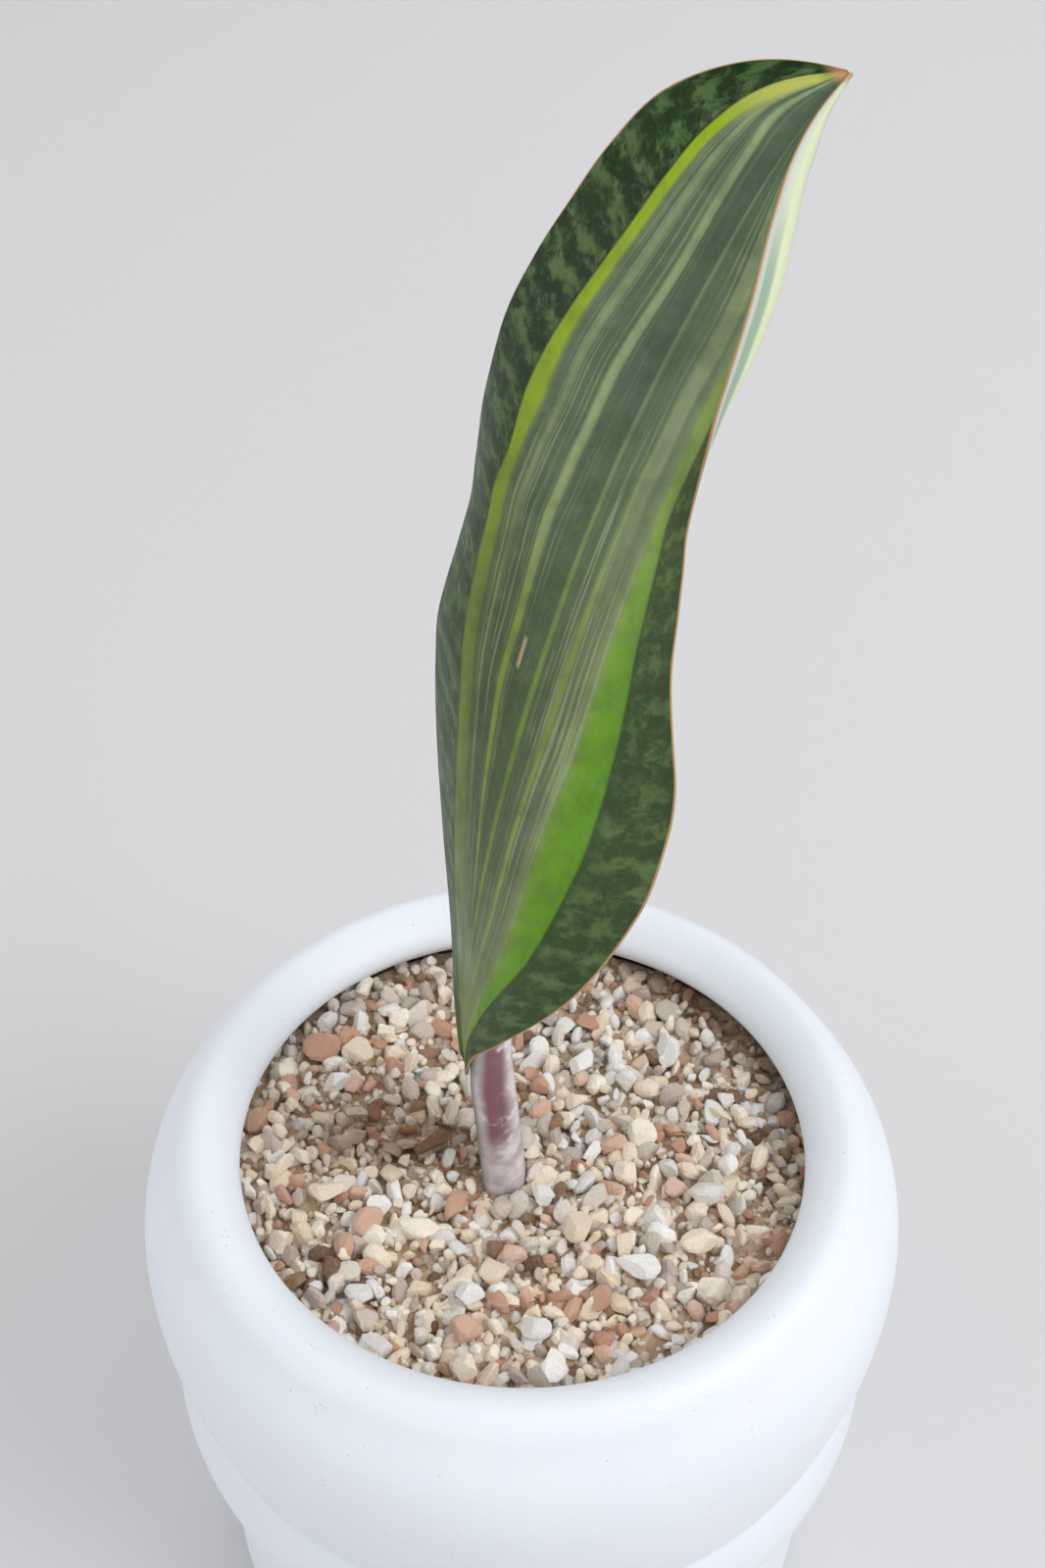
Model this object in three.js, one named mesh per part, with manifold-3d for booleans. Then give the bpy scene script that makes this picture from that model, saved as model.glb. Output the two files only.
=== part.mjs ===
// A paddle-leaf snake plant in a round white pot, in millimetres, +Z up, the viewer's side at -Y.
// Origin: the centre of the pot's foot. One leaf stands on a short rhizome in a bed of coarse grit.
import * as THREE from "three";
import { mergeVertices } from "three/addons/utils/BufferGeometryUtils.js";
import Module from "manifold-3d";

const wasm = await Module();
wasm.setup();

const CLEARANCE = 0.3; // between any two pieces that touch in the real plant
const ROUND_PARTS = 40; // straight facets round the pot and the bed of grit

// ---- Helpers: surfaces, solids and named meshes ----

// A closed skin over rings of equal point count, each end closed by a fan to the ring's middle.
function skin(rings) {
  const around = rings[0].length;
  const points = rings.flat();
  const faces = [];
  for (let i = 0; i + 1 < rings.length; i++) {
    for (let k = 0; k < around; k++) {
      const a = i * around + k;
      const b = i * around + ((k + 1) % around);
      faces.push(a, b, b + around, a, b + around, a + around);
    }
  }
  for (const [ring, start] of [[rings[0], 0], [rings.at(-1), (rings.length - 1) * around]]) {
    const middle = new THREE.Vector3();
    ring.forEach((p) => middle.add(p));
    points.push(middle.divideScalar(around));
    for (let k = 0; k < around; k++) {
      const a = start + k;
      const b = start + ((k + 1) % around);
      const outward = start === 0 ? [b, a] : [a, b];
      faces.push(...outward, points.length - 1);
    }
  }
  return new THREE.BufferGeometry().setFromPoints(points).setIndex(faces);
}

// The geometry as a solid whose faces look outwards.
function solid(geometry) {
  const bare = geometry.clone();
  bare.deleteAttribute("normal");
  bare.deleteAttribute("uv");
  const merged = mergeVertices(bare, 1e-4);
  const corners = merged.index.array;
  const build = (order) =>
    new wasm.Manifold(
      new wasm.Mesh({
        numProp: 3,
        vertProperties: new Float32Array(merged.attributes.position.array),
        triVerts: new Uint32Array(order),
      }),
    );
  const made = build(corners);
  return made.volume() > 0 ? made : build([...corners].reverse());
}

function geometryOf(body) {
  const mesh = body.getMesh();
  const geometry = new THREE.BufferGeometry();
  geometry.setAttribute("position", new THREE.BufferAttribute(new Float32Array(mesh.vertProperties), 3));
  geometry.setIndex(new THREE.BufferAttribute(new Uint32Array(mesh.triVerts), 1));
  geometry.computeVertexNormals();
  return geometry;
}

const group = new THREE.Group();
group.name = "potted_snake_plant";

function add(name, body, colour, roughness) {
  const material = new THREE.MeshStandardMaterial({ color: colour, roughness, metalness: 0 });
  const mesh = new THREE.Mesh(geometryOf(body), material);
  mesh.name = name;
  group.add(mesh);
}

// A smooth curve through (at, value) knots: each slope is that of the line between its neighbours.
function through(at, value) {
  const last = at.length - 1;
  const slope = value.map((_, i) => {
    const a = Math.max(i - 1, 0);
    const b = Math.min(i + 1, last);
    return (value[b] - value[a]) / (at[b] - at[a]);
  });
  return (x) => {
    let i = 0;
    while (i < last - 1 && x >= at[i + 1]) i++;
    const h = at[i + 1] - at[i];
    const t = (x - at[i]) / h;
    const rise = t * t * (3 - 2 * t);
    const away = t * (1 - t);
    return value[i] + rise * (value[i + 1] - value[i]) + away * h * ((1 - t) * slope[i] - t * slope[i + 1]);
  };
}

// A repeatable spread of values from 0 to 1, a different one for each n.
const scatter = (n) => {
  const s = Math.sin(n * 12.9898 + 4.1414) * 43758.5453;
  return s - Math.floor(s);
};

// ---- Pot: slip-cast white stoneware, one large roll over a smaller one, on a plain lower wall ----

const RIM_HEIGHT = 130; // the crest of the rolled rim
const MOUTH_RADIUS = 52; // the opening, at the rim's inner edge
const ROLL_RADIUS = 70.8; // the large roll, the pot's widest ring
const SMALL_ROLL_RADIUS = 68.4;
const LOWER_RADIUS = 61.8; // the plain wall under the rolls
const WALL = 6.4;
const FOOT_RADIUS = 57;
const FOOT_RING = 6; // width of the ring that the pot stands on
const FOOT_RECESS = 3.5; // height of the hollow inside the foot ring
const FLOOR = 9; // top of the pot's floor
const DRAIN_RADIUS = 7;
const BED_TOP = RIM_HEIGHT - 12; // the grit, which the plant stands in, fills the pot to here

const curve2 = (points, count) =>
  new THREE.SplineCurve(points.map(([r, z]) => new THREE.Vector2(r, z))).getPoints(count);

const smallRoll = curve2(
  [
    [LOWER_RADIUS, RIM_HEIGHT - 78],
    [LOWER_RADIUS + 2.6, RIM_HEIGHT - 75.6],
    [SMALL_ROLL_RADIUS - 1.2, RIM_HEIGHT - 70],
    [SMALL_ROLL_RADIUS, RIM_HEIGHT - 63],
    [SMALL_ROLL_RADIUS - 0.7, RIM_HEIGHT - 55.5],
    [SMALL_ROLL_RADIUS - 2, RIM_HEIGHT - 51],
  ],
  7,
);
const largeRoll = curve2(
  [
    [SMALL_ROLL_RADIUS - 2, RIM_HEIGHT - 51],
    [ROLL_RADIUS - 3.2, RIM_HEIGHT - 47.4],
    [ROLL_RADIUS - 1.6, RIM_HEIGHT - 40],
    [ROLL_RADIUS - 0.3, RIM_HEIGHT - 31],
    [ROLL_RADIUS, RIM_HEIGHT - 21],
    [ROLL_RADIUS - 1.7, RIM_HEIGHT - 12.5],
    [ROLL_RADIUS - 5.7, RIM_HEIGHT - 5.4],
    [ROLL_RADIUS - 8.2, RIM_HEIGHT - 1.7],
    [MOUTH_RADIUS + 7.5, RIM_HEIGHT],
    [MOUTH_RADIUS + 3.8, RIM_HEIGHT - 1],
    [MOUTH_RADIUS + 1, RIM_HEIGHT - 3.2],
    [MOUTH_RADIUS, RIM_HEIGHT - 5.4],
  ],
  17,
);
// The inside, from under the rim down to the floor, follows the outside a wall's thickness in.
const inside = curve2(
  [
    [MOUTH_RADIUS + 0.6, RIM_HEIGHT - 7.6],
    [MOUTH_RADIUS + 3.5, RIM_HEIGHT - 11.4],
    [ROLL_RADIUS - WALL - 4, RIM_HEIGHT - 16],
    [ROLL_RADIUS - WALL - 0.6, RIM_HEIGHT - 22],
    [ROLL_RADIUS - WALL - 0.8, RIM_HEIGHT - 32],
    [SMALL_ROLL_RADIUS - WALL - 2, RIM_HEIGHT - 51],
    [SMALL_ROLL_RADIUS - WALL - 0.8, RIM_HEIGHT - 64],
    [LOWER_RADIUS - WALL, RIM_HEIGHT - 78],
    [LOWER_RADIUS - WALL - 0.6, 30],
    [LOWER_RADIUS - WALL - 1, 14],
    [LOWER_RADIUS - WALL - 5, FLOOR],
  ],
  13,
);
const lowerWall = curve2(
  [
    [FOOT_RADIUS, 0],
    [LOWER_RADIUS - 2, 3],
    [LOWER_RADIUS - 0.9, 9],
    [LOWER_RADIUS - 0.4, 26],
    [LOWER_RADIUS, RIM_HEIGHT - 78],
  ],
  5,
);
const footRing = [
  new THREE.Vector2(DRAIN_RADIUS, FOOT_RECESS),
  new THREE.Vector2(FOOT_RADIUS - FOOT_RING - 1.5, FOOT_RECESS),
  new THREE.Vector2(FOOT_RADIUS - FOOT_RING, 0),
];
const potOutline = [
  ...footRing,
  ...lowerWall,
  ...smallRoll.slice(1),
  ...largeRoll.slice(1),
  ...inside,
  new THREE.Vector2(DRAIN_RADIUS, FLOOR),
  footRing[0],
];
const turned = (outline) => new THREE.LatheGeometry(outline, ROUND_PARTS).rotateX(Math.PI / 2);
add("pot", solid(turned(potOutline)), 0xeef0f3, 0.5);

// ---- Drain mesh: a punched plastic disc that keeps the grit off the drain hole ----

const DRAIN_MESH_RADIUS = 13;
const DRAIN_MESH_THICK = 1.6;
const DRAIN_MESH_SLOT = 2.2;
const DRAIN_MESH_PITCH = 3.8;

const discBottom = FLOOR + CLEARANCE;
const discTop = discBottom + DRAIN_MESH_THICK;
const disc = new THREE.LatheGeometry(
  [
    new THREE.Vector2(0, discBottom),
    new THREE.Vector2(DRAIN_MESH_RADIUS, discBottom),
    new THREE.Vector2(DRAIN_MESH_RADIUS, discTop),
    new THREE.Vector2(0, discTop),
  ],
  32,
).rotateX(Math.PI / 2);
let drainMesh = solid(disc);
for (let i = -2; i <= 2; i++) {
  for (let j = -2; j <= 2; j++) {
    if (Math.hypot(i, j) > 2.5) continue;
    const slot = new THREE.BoxGeometry(DRAIN_MESH_SLOT, DRAIN_MESH_SLOT, 4 * DRAIN_MESH_THICK);
    slot.translate(i * DRAIN_MESH_PITCH, j * DRAIN_MESH_PITCH, discTop);
    drainMesh = drainMesh.subtract(solid(slot));
  }
}
add("drain_mesh", drainMesh, 0x2c3a33, 0.7);

// ---- Leaf: blade and channelled petiole, grown as one piece ----

// The blade's guide line, from the top of the petiole to the tip. It leans back and to the right.
const BLADE_BASE = new THREE.Vector3(-10.3, -3, BED_TOP + 30);
const BLADE_TIP = new THREE.Vector3(46.7, 62, BED_TOP + 185);
const guide = new THREE.CubicBezierCurve3(
  BLADE_BASE,
  new THREE.Vector3(-3, 6.5, 63).add(BLADE_BASE),
  new THREE.Vector3(-27, -25.4, -15).add(BLADE_TIP),
  BLADE_TIP,
);
const BLADE_THICK = 2.3; // along the middle
const MARGIN_THICK = 0.8; // the hard, narrow edge
const BLADE_RINGS = 34;
const BLADE_STEPS = 6; // facets from the guide line to each margin

// Widths of the two halves, measured round the curl, at shares of the blade's length.
const WIDTH_AT = [0, 0.08, 0.2, 0.35, 0.5, 0.65, 0.8, 0.92, 1];
const leftWidth = through(WIDTH_AT, [2, 11, 21, 31, 35, 36, 26, 18, 0.5]);
const rightWidth = through(WIDTH_AT, [1, 12, 28, 35, 30, 28, 31, 11, 0.5]);
// Degrees: where the upper face looks (0 at the viewer, minus to the left), and how far each half
// curls from the guide line to its margin (plus towards the upper face, minus back from it).
const TURN_AT = [0, 0.2, 0.4, 0.6, 0.8, 1];
const facing = through(TURN_AT, [-94, -70, -48, -34, -36, -40]);
const leftCurl = through(TURN_AT, [20, -4, -32, -54, -2, 90]);
const rightCurl = through(TURN_AT, [-20, -42, 0, 68, 108, 130]);

// The guide line's point at u, the way it runs, the upper face's direction and the way to the right.
function bladeFrame(u) {
  const at = guide.getPointAt(u);
  const along = guide.getTangentAt(u);
  const turn = THREE.MathUtils.degToRad(facing(u));
  const up = new THREE.Vector3(Math.sin(turn), -Math.cos(turn), 0);
  up.addScaledVector(along, -up.dot(along)).normalize();
  const right = new THREE.Vector3().crossVectors(along, up);
  return { at, along, up, right };
}

// Each half is an arc: its angle grows evenly from the guide line (v = 0) to the margin (v = -1 or 1).
function bladePoint(frame, u, v, depth) {
  const side = v < 0 ? -1 : 1;
  const width = Math.max(side < 0 ? leftWidth(u) : rightWidth(u), 0.4);
  const curl = THREE.MathUtils.degToRad(side < 0 ? leftCurl(u) : rightCurl(u)) || 1e-3;
  const angle = curl * Math.abs(v);
  return frame.at
    .clone()
    .addScaledVector(frame.right, (side * width * Math.sin(angle)) / curl + side * depth * Math.sin(angle))
    .addScaledVector(frame.up, (width * (1 - Math.cos(angle))) / curl - depth * Math.cos(angle));
}

function bladeRing(u) {
  const frame = bladeFrame(u);
  const narrow = Math.min(leftWidth(u), rightWidth(u));
  const middle = Math.min(BLADE_THICK, 0.4 + 0.25 * Math.max(narrow, 0));
  const margin = Math.min(MARGIN_THICK, middle);
  const upper = [];
  const lower = [];
  for (let k = -BLADE_STEPS; k <= BLADE_STEPS; k++) {
    const v = k / BLADE_STEPS;
    upper.push(bladePoint(frame, u, v, 0));
    lower.push(bladePoint(frame, u, v, margin + (middle - margin) * (1 - v * v)));
  }
  return [...upper, ...lower.reverse()];
}
const bladeRings = [];
for (let i = 0; i <= BLADE_RINGS; i++) bladeRings.push(bladeRing(i / BLADE_RINGS));

// The petiole is a round stalk with a channel down its upper face. Its top runs out along the back
// of the blade as a keel.
const PETIOLE_RADIUS = 4.4;
const CHANNEL_DEPTH = 0.4; // share of the radius
const PETIOLE_FOOT = new THREE.Vector3(-3, -2, BED_TOP - 17);
const KEEL = [
  { u: 0, radius: PETIOLE_RADIUS - 0.1 },
  { u: 0.06, radius: PETIOLE_RADIUS - 0.4 },
  { u: 0.14, radius: 3.1 },
  { u: 0.24, radius: 2.2 },
  { u: 0.36, radius: 1.5 },
  { u: 0.5, radius: 0.8 },
];
const stalkLine = new THREE.CatmullRomCurve3([
  PETIOLE_FOOT,
  new THREE.Vector3(-3.8, -2.4, BED_TOP),
  new THREE.Vector3(-5.2, -3.1, BED_TOP + 20),
  ...KEEL.map(({ u, radius }) => {
    const frame = bladeFrame(u);
    return frame.at.addScaledVector(frame.up, -radius);
  }),
]);
const stalkRadius = through(
  [0, 1, 2, 3, 4, 5, 6, 7, 8],
  [PETIOLE_RADIUS + 0.2, PETIOLE_RADIUS + 0.1, PETIOLE_RADIUS, ...KEEL.map((k) => k.radius)],
);
const STALK_RINGS = 20;
const STALK_SIDES = 14;

function stalkRings(extra, to, count) {
  const rings = [];
  for (let i = 0; i <= count; i++) {
    const share = (to * i) / count;
    const at = stalkLine.getPoint(share);
    const along = stalkLine.getTangent(share);
    const u = THREE.MathUtils.clamp((share * 8 - 3) / 5, 0, 1) * 0.5;
    const up = bladeFrame(u).up;
    up.addScaledVector(along, -up.dot(along)).normalize();
    const right = new THREE.Vector3().crossVectors(along, up);
    const ring = [];
    for (let k = 0; k < STALK_SIDES; k++) {
      const angle = ((k / STALK_SIDES) * 2 - 1) * Math.PI;
      const channel = extra > 0 ? 0 : CHANNEL_DEPTH * Math.exp(-((angle / 0.5) ** 2));
      const radius = (stalkRadius(share * 8) + extra) * (1 - channel);
      ring.push(
        at
          .clone()
          .addScaledVector(up, radius * Math.cos(angle))
          .addScaledVector(right, radius * Math.sin(angle)),
      );
    }
    rings.push(ring);
  }
  return rings;
}
const leaf = solid(skin(bladeRings)).add(solid(skin(stalkRings(0, 1, STALK_RINGS))));
add("leaf", leaf, 0x41663f, 0.45);

// ---- Rhizome: the short buried stem that the leaf stands on ----

const RHIZOME_LENGTH = 34;
const RHIZOME_RADIUS = 7.5;
const RHIZOME_CENTRE = new THREE.Vector3(2, 0, BED_TOP - 17.5);

// A blunt spindle along X, a little thicker in the middle, grown larger by extra all round.
function spindle(extra) {
  const rings = [];
  const half = RHIZOME_LENGTH / 2 + extra;
  for (let i = 1; i < 10; i++) {
    const turn = (i / 10) * Math.PI;
    const radius = (RHIZOME_RADIUS + extra) * Math.sin(turn) ** 0.6;
    const ring = [];
    for (let k = 0; k < 12; k++) {
      const angle = (k / 12) * 2 * Math.PI;
      const offset = new THREE.Vector3(-half * Math.cos(turn), radius * Math.cos(angle), radius * Math.sin(angle));
      ring.push(offset.add(RHIZOME_CENTRE));
    }
    rings.push(ring);
  }
  return solid(skin(rings));
}
const petioleSocket = solid(skin(stalkRings(CLEARANCE, 0.3, 6)).translate(0, 0, -CLEARANCE));
const rhizome = spindle(0).subtract(petioleSocket);
add("rhizome", rhizome, 0xb98a4e, 0.8);

// ---- Roots: fleshy, from the rhizome's underside out and down into the grit ----

const ROOT_COUNT = 5;
const ROOT_RADIUS = 1.8;
const ROOT_TIP_RADIUS = 0.9;
const ROOT_REACH = 30; // sideways
const ROOT_DROP = RHIZOME_CENTRE.z - FLOOR - 25.5; // downwards, to well above the floor
const ROOT_RINGS = 9;

function rootSolid(n, extra) {
  const around = (n / ROOT_COUNT) * 2 * Math.PI + 0.5;
  const reach = ROOT_REACH * (0.8 + 0.35 * scatter(n));
  const drop = ROOT_DROP * (0.75 + 0.25 * scatter(n + 20));
  const out = (share, sag) =>
    new THREE.Vector3(
      RHIZOME_CENTRE.x + Math.cos(around) * (5 + reach * share),
      RHIZOME_CENTRE.y + Math.sin(around) * (2 + reach * share),
      RHIZOME_CENTRE.z - 4 - drop * sag,
    );
  const line = new THREE.CatmullRomCurve3([out(0, 0), out(0.25, 0.12), out(0.6, 0.4), out(0.8, 0.7), out(1, 1)]);
  const rings = [];
  for (let i = 0; i <= ROOT_RINGS; i++) {
    const share = i / ROOT_RINGS;
    const at = line.getPoint(share);
    const along = line.getTangent(share);
    const side = new THREE.Vector3(-Math.sin(around), Math.cos(around), 0);
    const other = new THREE.Vector3().crossVectors(along, side);
    const radius = ROOT_RADIUS + (ROOT_TIP_RADIUS - ROOT_RADIUS) * share + extra;
    const ring = [];
    for (let k = 0; k < 7; k++) {
      const angle = (k / 7) * 2 * Math.PI;
      ring.push(
        at
          .clone()
          .addScaledVector(side, radius * Math.cos(angle))
          .addScaledVector(other, radius * Math.sin(angle)),
      );
    }
    rings.push(ring);
  }
  return solid(skin(rings));
}
const roundRhizome = spindle(CLEARANCE);
for (let n = 0; n < ROOT_COUNT; n++) {
  add(`root_${n + 1}`, rootSolid(n, 0).subtract(roundRhizome), 0xd8b87a, 0.85);
}

// ---- Grit: a bed of coarse mineral mix, and the largest loose pieces that lie on it ----

const BED_UNEVEN = 0.8;
const BED_GAP = 0.24; // least space between the bed and the pot's wall
const GRAIN_SINK = 0.35; // share of a grain's height that sits in the bed
const GRAIN_CIRCLE = 52; // the mouth that the places below are laid out in; another spreads them

// Kind, then each grain's place (x, y), length, width, height and turn in degrees.
const GRAINS = {
  pumice: {
    colour: 0xe9e8e3,
    list: [
      [4, -8.5, 7, 4.6, 4, 0],
      [-9, -30.5, 6, 5, 4.5, -30],
      [11, 23, 8, 5, 4.5, 80],
      [28, 27, 9.5, 5, 4.5, 85],
      [-36, 17, 7, 5.5, 4.5, 50],
      [2.5, -36.5, 6.5, 5.5, 4.5, 0],
      [34, -8, 7.5, 6, 5, 20],
      [21, -23.5, 8.5, 6, 5, -20],
      [-28.5, -30.5, 5.5, 5, 4, 0],
      [6, -44.5, 7, 5, 4.5, 70],
    ],
  },
  cream_grit: {
    colour: 0xe6d6b4,
    list: [
      [-32, 25.5, 7.5, 5, 4.5, -30],
      [-36, -8.5, 8, 4.8, 4.5, 10],
      [-4.5, -25, 6.5, 5.8, 5, 0],
      [-18.5, -16, 9, 4.5, 4, -25],
      [10.5, -15.5, 7, 6.5, 5, 30],
      [22.5, 6, 6.5, 6, 5, 60],
      [32, -18, 7, 5.2, 4.5, 10],
      [-9, -45, 5.5, 5.2, 4.5, 40],
      [34.5, -28, 7, 5, 4.5, 0],
      [-43, -19.5, 7, 5, 4.5, 70],
    ],
  },
  red_clay: {
    colour: 0xb8896c,
    list: [
      [-9.5, -37.5, 6.5, 6, 5.5, 20],
      [-28, -14.5, 7, 5.5, 5, 60],
      [-39.5, 26, 8, 6.5, 5.5, 20],
      [-12, -11, 8.5, 4, 4, 75],
      [14, -31, 6.5, 4, 4, 70],
    ],
  },
  bark: {
    colour: 0x5a3a24,
    list: [
      [-16.5, 3.5, 9, 5, 3, 40],
      [6, 8, 5, 3.5, 3, 65],
      [-39.5, -27.5, 5, 3.5, 3, 30],
    ],
  },
};

// A knobbly pebble: a ball whose corners are pushed in and out, then stretched, turned and placed.
function grainSolid(seed, [x, y, length, width, height, turn], extra, outward) {
  const ball = mergeVertices(new THREE.IcosahedronGeometry(1, 1).deleteAttribute("normal").deleteAttribute("uv"));
  const place = ball.attributes.position;
  for (let i = 0; i < place.count; i++) {
    const push = 0.88 + 0.24 * scatter(seed * 53 + i);
    place.setXYZ(i, place.getX(i) * push, place.getY(i) * push, place.getZ(i) * push);
  }
  ball.scale(length / 2 + extra, width / 2 + extra, height / 2 + extra);
  ball.rotateZ(THREE.MathUtils.degToRad(turn));
  const spread = MOUTH_RADIUS / GRAIN_CIRCLE + outward / Math.hypot(x, y);
  return solid(ball.translate(x * spread, y * spread, BED_TOP + height * (0.5 - GRAIN_SINK)));
}

// The grains are laid one by one: one that would run into another is moved out till it is clear.
const laid = [];
const loose = [];
for (const [kind, { colour, list }] of Object.entries(GRAINS)) {
  list.forEach((size, i) => {
    const seed = loose.length + 1;
    let outward = 0;
    let grain = grainSolid(seed, size, 0, outward);
    while (laid.some((other) => other.intersect(grain).volume() > 0)) {
      outward += CLEARANCE;
      grain = grainSolid(seed, size, 0, outward);
    }
    add(`${kind}_${i + 1}`, grain, colour, 0.9);
    laid.push(grain);
    loose.push(grainSolid(seed, size, CLEARANCE * 1.6, outward));
  });
}

const bedSide = inside.filter((p) => p.y < BED_TOP && p.y > FLOOR + CLEARANCE);
const bedEdge = bedSide[0].x - 3.4;
const meshTop = discTop + CLEARANCE;
const bedOutline = [
  new THREE.Vector2(0, meshTop),
  new THREE.Vector2(DRAIN_MESH_RADIUS + CLEARANCE, meshTop),
  new THREE.Vector2(DRAIN_MESH_RADIUS + CLEARANCE, FLOOR + CLEARANCE),
  new THREE.Vector2(inside.at(-1).x - 1, FLOOR + CLEARANCE),
  ...bedSide.map((p) => new THREE.Vector2(p.x - 1.4 * CLEARANCE, p.y)).reverse(),
  ...[1, 0.8, 0.6, 0.4, 0.2].map((share) => new THREE.Vector2(bedEdge * share, BED_TOP)),
  new THREE.Vector2(0, BED_TOP),
];
const bedSkin = mergeVertices(turned(bedOutline).deleteAttribute("normal").deleteAttribute("uv"), 1e-3);
const bedPoints = bedSkin.attributes.position;
for (let i = 0; i < bedPoints.count; i++) {
  if (bedPoints.getZ(i) > BED_TOP - 0.01) {
    bedPoints.setZ(i, BED_TOP - BED_UNEVEN * scatter(i));
  }
}
const petioleRoom = solid(skin(stalkRings(CLEARANCE, 0.4, 8)).translate(0, 0, -CLEARANCE / 2));
let bed = solid(bedSkin).subtract(petioleRoom).subtract(roundRhizome);
for (let n = 0; n < ROOT_COUNT; n++) bed = bed.subtract(rootSolid(n, CLEARANCE));
for (const pocket of loose) bed = bed.subtract(pocket);
// Where the wall leans far in over the grit, the bed is cut back square to it.
const wallFace = inside.map((p, i) => {
  const run = new THREE.Vector2().subVectors(inside[i + 1] ?? p, inside[i - 1] ?? p).normalize();
  return new THREE.Vector2(p.x + BED_GAP * run.y, p.y - BED_GAP * run.x);
});
const wallRoom = solid(
  turned([
    ...wallFace,
    new THREE.Vector2(ROLL_RADIUS, wallFace.at(-1).y),
    new THREE.Vector2(ROLL_RADIUS, wallFace[0].y),
    wallFace[0],
  ]),
);
add("grit_bed", bed.subtract(wallRoom), 0xc8b193, 0.95);

export default group;
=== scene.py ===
import bpy
import numpy as np
from mathutils import Matrix


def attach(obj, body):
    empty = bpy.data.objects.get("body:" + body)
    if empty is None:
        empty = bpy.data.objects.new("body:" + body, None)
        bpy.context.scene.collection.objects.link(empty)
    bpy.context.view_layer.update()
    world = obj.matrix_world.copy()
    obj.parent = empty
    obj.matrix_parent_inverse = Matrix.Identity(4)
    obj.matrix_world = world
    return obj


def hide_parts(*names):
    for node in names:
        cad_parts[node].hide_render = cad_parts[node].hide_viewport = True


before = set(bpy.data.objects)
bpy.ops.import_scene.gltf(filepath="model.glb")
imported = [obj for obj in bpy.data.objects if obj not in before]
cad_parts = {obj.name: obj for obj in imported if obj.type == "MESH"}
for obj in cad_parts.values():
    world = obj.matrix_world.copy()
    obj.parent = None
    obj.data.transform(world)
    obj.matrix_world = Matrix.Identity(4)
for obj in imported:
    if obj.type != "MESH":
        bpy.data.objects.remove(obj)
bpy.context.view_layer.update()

# ---- Pot -------------------------------------------------------------------------------------
# Slip-cast stoneware: one large soft roll over a smaller one on a plain lower wall, the rim
# rolled in over the mouth. Its white glaze is matt, faintly blue, and specked with iron.

MM = 0.001
RIM_HEIGHT = 130.0
MOUTH_RADIUS = 52.0
ROLL_RADIUS = 70.8
SMALL_ROLL_RADIUS = 68.4
LOWER_RADIUS = 61.8
WALL = 6.4
FOOT_RADIUS = 57.0
FOOT_RING = 6.0
FOOT_RECESS = 3.5
FLOOR = 9.0
DRAIN_RADIUS = 7.0
POT_SIDES = 220


def colour(red, green, blue):
    """A screen colour, 0 to 255 a channel, as the linear light that shaders work in: the share
    over 12.92 where it is dark, and elsewhere (share + 0.055) / 1.055 to the power 2.4."""
    share = np.array([red, green, blue]) / 255
    linear = np.where(share <= 0.04045, share / 12.92, ((share + 0.055) / 1.055) ** 2.4)
    return (*linear.tolist(), 1.0)


def rounded(points, steps):
    """A curve through the points: on each span, the cubic whose end slopes are half the step
    between the two neighbours, sampled evenly."""
    p = np.array(points, float)
    q = np.vstack([2 * p[0] - p[1], p, 2 * p[-1] - p[-2]])
    t = np.linspace(0, 1, steps, endpoint=False)[None, :, None]
    a, b, c, d = (q[i : len(q) - 3 + i, None, :] for i in range(4))
    bend = (2 * a - 5 * b + 4 * c - d) * t**2
    twist = (3 * b - a - 3 * c + d) * t**3
    curve = 0.5 * (2 * b + (c - a) * t + bend + twist)
    return np.vstack([curve.reshape(-1, p.shape[1]), p[-1:]])


def grid_faces(rows, columns, wrap_rows=False, wrap_columns=True):
    """Four-cornered faces between neighbours of a rows by columns grid, wrapped round if asked."""
    i, j = np.meshgrid(
        np.arange(rows if wrap_rows else rows - 1),
        np.arange(columns if wrap_columns else columns - 1),
        indexing="ij",
    )
    up, side = (i + 1) % rows, (j + 1) % columns
    quads = [i * columns + j, i * columns + side, up * columns + side, up * columns + j]
    return np.stack(quads, -1).reshape(-1, 4)


def new_piece(name, points, faces, attributes=None):
    """A smooth mesh at the origin from points in millimetres, with one number a point for each
    named attribute."""
    mesh = bpy.data.meshes.new(name)
    mesh.from_pydata((np.asarray(points) * MM).tolist(), [], [list(f) for f in faces])
    mesh.polygons.foreach_set("use_smooth", np.ones(len(mesh.polygons), bool))
    for key, values in (attributes or {}).items():
        layer = mesh.attributes.new(key, "FLOAT", "POINT")
        layer.data.foreach_set("value", np.asarray(values, np.float32).ravel())
    piece = bpy.data.objects.new(name, mesh)
    bpy.context.scene.collection.objects.link(piece)
    return piece


def turned(outline, sides):
    """Every point (r, z) of the outline carried round the axis: x = r cos a, y = r sin a."""
    angle = np.linspace(0, 2 * np.pi, sides, endpoint=False)
    r, z = outline[:, :1], outline[:, 1:]
    return np.stack([r * np.cos(angle), r * np.sin(angle), z + 0 * angle], -1)


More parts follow.
